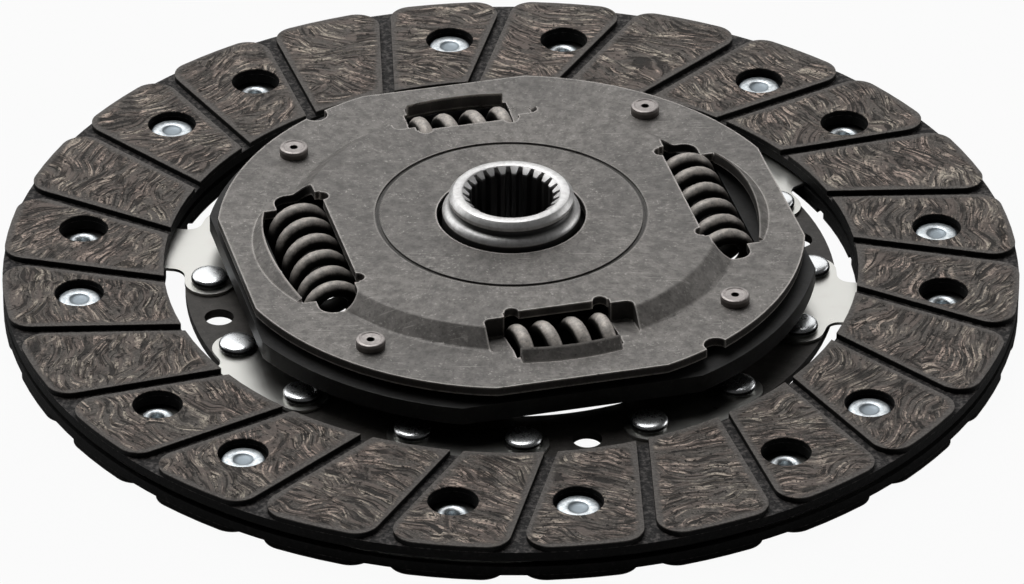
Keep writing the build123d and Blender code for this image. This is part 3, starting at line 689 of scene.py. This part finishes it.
def hub_material():
    """Turned steel: fine rings, with painted shade in the spline bore, under the rim and low on the
    neck.
    """
    material, w, skin = new_material("Turned hub steel", metallic=0.7, roughness=0.3)
    place = w.place_mm()
    polar = w.group(POLAR, Place=place)
    radius, height = polar["Radius"], polar["Height"]
    rings = w.group(TURNING, Radius=radius, Height=height)["Mask"]
    patches = w.noise(place, 0.8, detail=4.0, roughness=0.6)
    bright = w.mix(w.band(patches, 0.35, 0.7), grey(0.86, 0.01), grey(0.68, 0.015))
    # painted shade: the spline bore, the neck under the rim and the part low on the neck get dark
    # colours
    inside = w.math("MULTIPLY", w.math("LESS_THAN", radius, 10.35), w.band(height, 24.3, 23.2))
    neck_painted_shade = w.math("MULTIPLY", w.band(height, 23.45, 23.1), w.band(height, 21.5, 22.0))
    neck_painted_shade = w.math("MAXIMUM", neck_painted_shade, w.band(height, 20.5, 20.1))
    neck_painted_shade = w.math("MULTIPLY", neck_painted_shade, w.math("GREATER_THAN", radius, 11.5))
    colour = w.mix(inside, bright, grey(0.14, 0.02))
    colour = w.mix(w.math("MULTIPLY", neck_painted_shade, 0.93), colour, grey(0.03, 0.02))
    w.set(skin, "Base Color", colour)
    w.set(skin, "Roughness", w.blend(rings, 0.30, 0.46))
    bump(w, skin, rings, 0.12, 0.00004)
    return material


def facing_rivet_material():
    """Plated rivet whose head dimple is rougher and painted dark as shade."""
    material, w, skin = new_material("Facing rivet", metallic=1.0, roughness=0.42)
    place = w.place_mm()
    height = w.group(POLAR, Place=place)["Height"]
    reach = w.math("ABSOLUTE", w.math("SUBTRACT", height, FACING_FRONT / 2))
    # painted shade: the dimple in the head gets a dark blue-grey colour
    dimple_painted_shade = w.math("MULTIPLY", w.band(reach, 2.47, 2.38), w.band(reach, 1.80, 1.95))
    patches = w.noise(place, 1.3, detail=4.0, roughness=0.6)
    colour = w.mix(w.band(patches, 0.4, 0.62), (0.84, 0.88, 0.90, 1), (0.58, 0.63, 0.66, 1))
    w.set(skin, "Base Color", w.mix(dimple_painted_shade, colour, (0.34, 0.385, 0.42, 1)))
    w.set(skin, "Roughness", w.blend(dimple_painted_shade, 0.42, 0.55))
    bump(w, skin, patches, 0.12, 0.00005)
    return material


def pin_material():
    """Stop pin: brushed end with a dark centre mark."""
    material, w, skin = new_material("Stop pin steel", metallic=1.0, roughness=0.4)
    place = w.place_mm()
    polar = w.group(POLAR, Place=place)
    swing_angle = w.math("WRAP", w.math("SUBTRACT", polar["Angle"], PIN_ANGLE), 45.0, -45.0)
    sideways = w.math("MULTIPLY", w.math("MULTIPLY", swing_angle, math.radians(1)), polar["Radius"])
    outwards = w.math("SUBTRACT", polar["Radius"], PIN_PLACE)
    distance = w.vector("LENGTH", w.combine(sideways, outwards, 0.0))
    rings = w.noise(w.combine(distance, 0.0, polar["Height"]), 5.0, detail=2.0)
    patches = w.noise(place, 1.1, detail=4.0, roughness=0.6)
    colour = w.mix(w.band(patches, 0.4, 0.7), (0.40, 0.37, 0.355, 1), (0.30, 0.275, 0.265, 1))
    colour = w.mix(w.band(rings, 0.5, 0.75), colour, (0.20, 0.18, 0.175, 1))
    low = w.band(polar["Height"], 17.9, 17.2)
    colour = w.mix(w.math("MULTIPLY", low, 0.85), colour, (0.10, 0.09, 0.085, 1))
    colour = w.mix(w.band(distance, 0.95, 0.75), colour, (0.008, 0.008, 0.008, 1))
    w.set(skin, "Base Color", colour)
    w.set(skin, "Roughness", w.blend(rings, 0.32, 0.50))
    bump(w, skin, rings, 0.15, 0.00005)
    return material


FACING_FRONT_SKIN = facing_material("Facing, gearbox side", FACING_FRONT, GROOVE_FLOOR, True)
FACING_BACK_SKIN = facing_material("Facing, flywheel side", 0.0, FACING_FRONT - GROOVE_FLOOR, False)
COVER_SKIN = phosphate_material(
    "Cover phosphate", 0.205, 0.56, warm=0.06, amount=0.8, scratch=0.35, add_wear_and_painted_light=True
)
DRIVE_SKIN = phosphate_material("Drive plate phosphate", 0.062, 0.16, warm=0.08, scratch=0.3)
FLANGE_SKIN = phosphate_material("Hub flange phosphate", 0.028, 0.07, warm=0.02, scratch=0.1)
LONG_SPRING_SKIN = spring_material("Long spring, painted light and shade", 0.50)
SHORT_SPRING_SKIN = spring_material("Short spring tan", 0.58)
HUB_SKIN = hub_material()
SEGMENT_SKIN = bright_material(
    "Segment spring steel", (0.67, 0.665, 0.63, 1), 0.30, grey(0.60, 0.05), grain=0.2
)
ZINC_SKIN = bright_material(
    "Zinc rivet", (0.93, 0.95, 0.96, 1), 0.27, grey(0.78, 0.0), wear=0.3, painted_side_shade=0.95
)
FACING_RIVET_SKIN = facing_rivet_material()
PIN_SKIN = pin_material()
HIDDEN_STEEL_SKIN = bright_material("Washer steel", grey(0.40, 0.02), 0.4, grey(0.2, 0.05))
FRICTION_SKIN = phosphate_material(
    "Friction ring", 0.06, 0.10, scratch=0.0, metallic=0.0, roughness=0.7
)
BUSH_SKIN = phosphate_material(
    "Bush plastic", 0.03, 0.05, scratch=0.0, metallic=0.0, roughness=0.45
)


# Friction facings: moulded pads with their edges rubbed round
gearbox_facing = pressed_copy("facing_gearbox_side", "gearbox_facing")
flywheel_facing = pressed_copy("facing_flywheel_side", "flywheel_facing")
for facing, skin, node in (
    (gearbox_facing, FACING_FRONT_SKIN, "facing_gearbox_side"),
    (flywheel_facing, FACING_BACK_SKIN, "facing_flywheel_side"),
):
    soften(facing, 0.3, 40)
    dress(facing, skin)
    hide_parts(node)


# Facing rivets: dished head, shank and rolled tail
facing_rivet = turned(
    "facing_rivet",
    [
        (0.25, 6.05), (1.1, 6.07), (1.7, 6.16), (2.0, 6.36), (2.2, 6.52), (2.65, 6.58), (3.9, 6.52),
        (4.3, 6.38), (4.4, 6.15), (4.4, 5.8), (2.2, 5.8), (2.2, 4.0), (3.2, 4.0), (3.3, 3.7),
        (3.2, 3.15), (2.6, 2.9), (1.9, 2.95), (1.5, 3.3), (1.5, 4.6), (0.2, 4.8),
    ],
    count=40,
)
smooth(facing_rivet, 40)
shift(facing_rivet, x=RIVET_PLACE)
heads_up = ring_of("facing_rivets_up", facing_rivet, [HEADS_UP + 45 * k for k in range(8)])
half_turn = math.radians((HEADS_UP + HEADS_DOWN) / 2)
heads_down = twin(heads_up, "facing_rivets_down")
heads_down.rotation_mode = "AXIS_ANGLE"
heads_down.rotation_axis_angle = (math.pi, math.cos(half_turn), math.sin(half_turn), 0)
heads_down.location = (0, 0, FACING_FRONT * MM)
settle(heads_down)
for rivets, node in ((heads_up, "facing_rivets_head_up"), (heads_down, "facing_rivets_head_down")):
    dress(rivets, FACING_RIVET_SKIN)
    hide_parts(node)


# Segment rivets: low domed zinc heads, undercut below their edge
segment_rivet = turned(
    "segment_rivet",
    [
        (0.3, 6.12), (1.4, 6.10), (2.3, 6.04), (2.9, 5.95), (3.35, 5.82), (3.65, 5.63),
        (3.84, 5.36), (3.9, 5.1), (3.9, 4.75), (3.6, 4.6), (3.4, 4.1), (2.5, 4.1), (2.5, 1.4),
        (3.6, 1.4), (3.6, 0.95), (3.3, 0.6), (2.6, 0.5), (0.4, 0.5),
    ],
    count=48,
)
smooth(segment_rivet, 40)
shift(segment_rivet, x=SEGMENT_RIVET_PLACE)
places = [
    FIRST_NECK + side * SEGMENT_RIVET_SIDE + 360 / SEGMENTS * k
    for k in range(SEGMENTS)
    for side in (-1, 1)
]
segment_rivets = ring_of("segment_rivet_heads", segment_rivet, places)
dress(segment_rivets, ZINC_SKIN)
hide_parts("segment_rivets")


# Pressed plates and the hub flange, with their edges broken
cover = pressed_copy("cover_plate", "cover_pressing")
soften(cover, 0.3, 28)
dress(cover, COVER_SKIN)
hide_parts("cover_plate")
drive = pressed_copy("drive_plate", "drive_pressing")
soften(drive, 0.22, 28)
dress(drive, DRIVE_SKIN)
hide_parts("drive_plate")
flange = pressed_copy("hub_flange", "hub_flange_blank")
soften(flange, 0.3, 28)
dress(flange, FLANGE_SKIN)
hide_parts("hub_flange")


# Hub: turned outside, spline cut into its bore
hub = turned(
    "splined_hub",
    [
        (8.9, 2.2), (10.25, 1.0), (14.0, 1.0), (14.6, 1.6), (14.6, 8.6), (16.0, 8.6), (16.0, 12.6),
        (18.4, 12.6), (18.4, 14.0), (14.6, 14.0), (14.6, 20.45), (14.45, 20.85), (14.1, 21.25),
        (13.6, 21.6), (13.1, 21.85), (12.7, 22.1), (12.5, 22.45), (12.5, 22.85), (12.7, 23.1),
        (13.15, 23.2), (13.2, 23.3), (13.2, 24.05), (13.1, 24.2), (12.35, 25.02), (12.2, 25.1),
        (10.55, 25.1), (10.4, 25.03), (8.9, 23.9),
    ],
    count=144,
    hollow=True,
)
space = block("space", (SPACE_MIDDLE, 0, 13), (SPACE_DEPTH, SPACE_MOUTH, 30))
for corner in space.data.vertices:
    if corner.co.x > SPACE_MIDDLE * MM:
        corner.co.y *= SPACE_FOOT / SPACE_MOUTH
space_angles = [SPLINE_START + 360 / SPLINE_TEETH * k for k in range(SPLINE_TEETH)]
cut(hub, ring_of("spaces", space, space_angles))
smooth(hub, 32)
dress(hub, HUB_SKIN)
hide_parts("hub")


# Stop pins
pin = turned(
    "pin",
    [
        (0.2, 17.4), (0.62, 17.4), (0.72, 17.9), (0.85, 18.02), (2.3, 18.08), (2.4, 18.2),
        (2.85, 18.2), (3.0, 18.1), (3.05, 17.9), (3.05, 16.25), (2.8, 16.25), (2.8, 14.25),
        (4.2, 14.25), (4.2, 3.4), (2.8, 3.4), (2.8, 1.4), (3.05, 1.4), (3.05, 0.6), (2.75, 0.3),
        (0.3, 0.3),
    ],
    count=48,
)
smooth(pin, 35)
shift(pin, x=PIN_PLACE)
for index in range(4):
    stop_pin = twin(pin, f"stop_pin_head_{index + 1}")
    swing(stop_pin, PIN_ANGLE + 90 * index)
    dress(stop_pin, PIN_SKIN)
    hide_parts(f"stop_pin_{index + 1}")
    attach(stop_pin, "disc")
bpy.data.objects.remove(pin)


# Damper springs: wire wound along a curve, ends closed and ground flat


def wound_spring(name, length, wire, turns):
    closed = 0.7
    open_turns = turns - 2 * closed
    pitch = (length - (2 * closed + 0.5) * wire) / open_turns
    steps = round(28 * turns)
    wound = bpy.data.curves.new(name, "CURVE")
    wound.dimensions = "3D"
    line = wound.splines.new("POLY")
    line.points.add(steps)
    for step, point in enumerate(line.points):
        turn = turns * step / steps
        end_turns = min(turn, closed) + max(turn - closed - open_turns, 0)
        along = (end_turns + 0.25) * wire + (turn - end_turns) * pitch - length / 2
        swing_angle = 2 * math.pi * (turn + 0.25)
        reach = SPRING_RADIUS - wire / 2
        across, upwards = reach * math.cos(swing_angle), -reach * math.sin(swing_angle)
        point.co = (across * MM, along * MM, upwards * MM, 1)
    wound.bevel_depth = wire / 2 * MM
    wound.bevel_resolution = 5
    wound.use_fill_caps = True
    piece = bpy.data.objects.new(name, wound)
    bpy.context.scene.collection.objects.link(piece)
    only(piece)
    bpy.ops.object.convert(target="MESH")
    piece = bpy.context.object
    bpy.ops.object.mode_set(mode="EDIT")
    bpy.ops.mesh.select_all(action="SELECT")
    bpy.ops.mesh.remove_doubles(threshold=0.000002)
    for side in (-1, 1):
        bpy.ops.mesh.select_all(action="SELECT")
        bpy.ops.mesh.bisect(
            plane_co=(0, side * length / 2 * MM, 0),
            plane_no=(0, side, 0),
            clear_outer=True,
        )
    bpy.ops.mesh.select_all(action="SELECT")
    bpy.ops.mesh.fill_holes(sides=0)
    bpy.ops.mesh.select_all(action="SELECT")
    bpy.ops.mesh.normals_make_consistent(inside=False)
    bpy.ops.object.mode_set(mode="OBJECT")
    smooth(piece, 40)
    return piece


long_spring = wound_spring("long_coil", LONG_LENGTH, LONG_WIRE, LONG_TURNS)
short_spring = wound_spring("short_coil", SHORT_LENGTH, SHORT_WIRE, SHORT_TURNS)
for model, size, first, skin in (
    (long_spring, "long", WINDOW_ANGLE, LONG_SPRING_SKIN),
    (short_spring, "short", WINDOW_ANGLE + 90, SHORT_SPRING_SKIN),
):
    shift(model, x=SPRING_PLACE, z=SPRING_HEIGHT)
    for index in range(2):
        spring = twin(model, f"{size}_coil_{index + 1}")
        swing(spring, first + 180 * index)
        dress(spring, skin)
        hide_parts(f"{size}_spring_{index + 1}")
        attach(spring, "disc")
    bpy.data.objects.remove(model)


# Pieces whose CAD shape is kept, with a finished surface
kept = {
    "centring_bush": BUSH_SKIN,
    "friction_ring_lower": FRICTION_SKIN,
    "friction_ring_upper": FRICTION_SKIN,
    "support_washer": HIDDEN_STEEL_SKIN,
    "disc_spring": HIDDEN_STEEL_SKIN,
}
for index in range(SEGMENTS):
    kept[f"cushion_segment_{index + 1}"] = SEGMENT_SKIN
for node, skin in kept.items():
    cad[node].data.materials[0] = skin

for piece in (gearbox_facing, flywheel_facing, heads_up, heads_down, segment_rivets, cover, drive):
    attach(piece, "disc")
for piece in (hub, flange):
    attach(piece, "hub")


# Floor, light and camera
bpy.ops.object.select_all(action="DESELECT")
bpy.ops.mesh.primitive_plane_add(size=8, location=(0, 0, -0.0002))
floor = bpy.context.object
floor.name = "studio_floor"
floor_skin, w, skin = new_material("Studio floor", roughness=0.9)
skin.inputs["Base Color"].default_value = (0.42, 0.42, 0.42, 1)
straight = w.add("ShaderNodeLightPath").outputs["Is Camera Ray"]
white = w.add("ShaderNodeEmission", {"Color": (1, 1, 1, 1), "Strength": 1.0}).outputs[0]
facing_light = w.add("ShaderNodeMixShader").outputs[0]
mixed = facing_light.node
w.set(mixed, 0, w.math("MULTIPLY", straight, 0.95))
w.set(mixed, 1, skin.outputs[0])
w.set(mixed, 2, white)
w.set(floor_skin.node_tree.nodes["Material Output"], "Surface", facing_light)
floor.data.materials.append(floor_skin)

world = bpy.data.worlds.new("Studio")
bpy.context.scene.world = world
world.use_nodes = True
w = Wiring(world.node_tree)
air = world.node_tree.nodes["Background"]
seen = w.add("ShaderNodeLightPath").outputs
straight = w.math("MAXIMUM", seen["Is Camera Ray"], seen["Is Transmission Ray"])
w.set(air, "Color", (1, 1, 1, 1))
w.set(air, "Strength", w.blend(straight, 0.035, 1.0))


def lamp(name, place, size, watts):
    """A softbox that looks at the disc."""
    light = bpy.data.lights.new(name, "AREA")
    light.shape = "RECTANGLE"
    light.size, light.size_y = size
    light.energy = watts
    holder = bpy.data.objects.new(name, light)
    bpy.context.scene.collection.objects.link(holder)
    holder.location = place
    holder.rotation_euler = (-holder.location).to_track_quat("-Z", "Y").to_euler()


lamp("Back softbox", (-0.50, 2.0, 1.25), (4.2, 1.5), 21.0)
lamp("High softbox", (-0.30, 0.52, 1.30), (1.0, 0.8), 9.5)
lamp("Left softbox", (-1.35, 0.65, 0.75), (0.9, 0.9), 3.0)
lamp("Right softbox", (1.35, 0.60, 0.42), (0.9, 0.7), 3.0)

camera_rise, camera_roll = 32.634, 0.306
lens = bpy.data.cameras.new("Camera")
camera = bpy.data.objects.new("Camera", lens)
bpy.context.scene.collection.objects.link(camera)
lens.sensor_width = 36.0
lens.lens = 270.4
lens.clip_start = 0.01
camera.location = (0.000254, -1.37465, 0.88018)
tilt = Matrix.Rotation(math.radians(90 - camera_rise), 3, "X")
roll = Matrix.Rotation(math.radians(camera_roll), 3, "Z")
camera.rotation_euler = (tilt @ roll).to_euler()
bpy.context.scene.camera = camera
bpy.context.scene.view_settings.view_transform = "Standard"
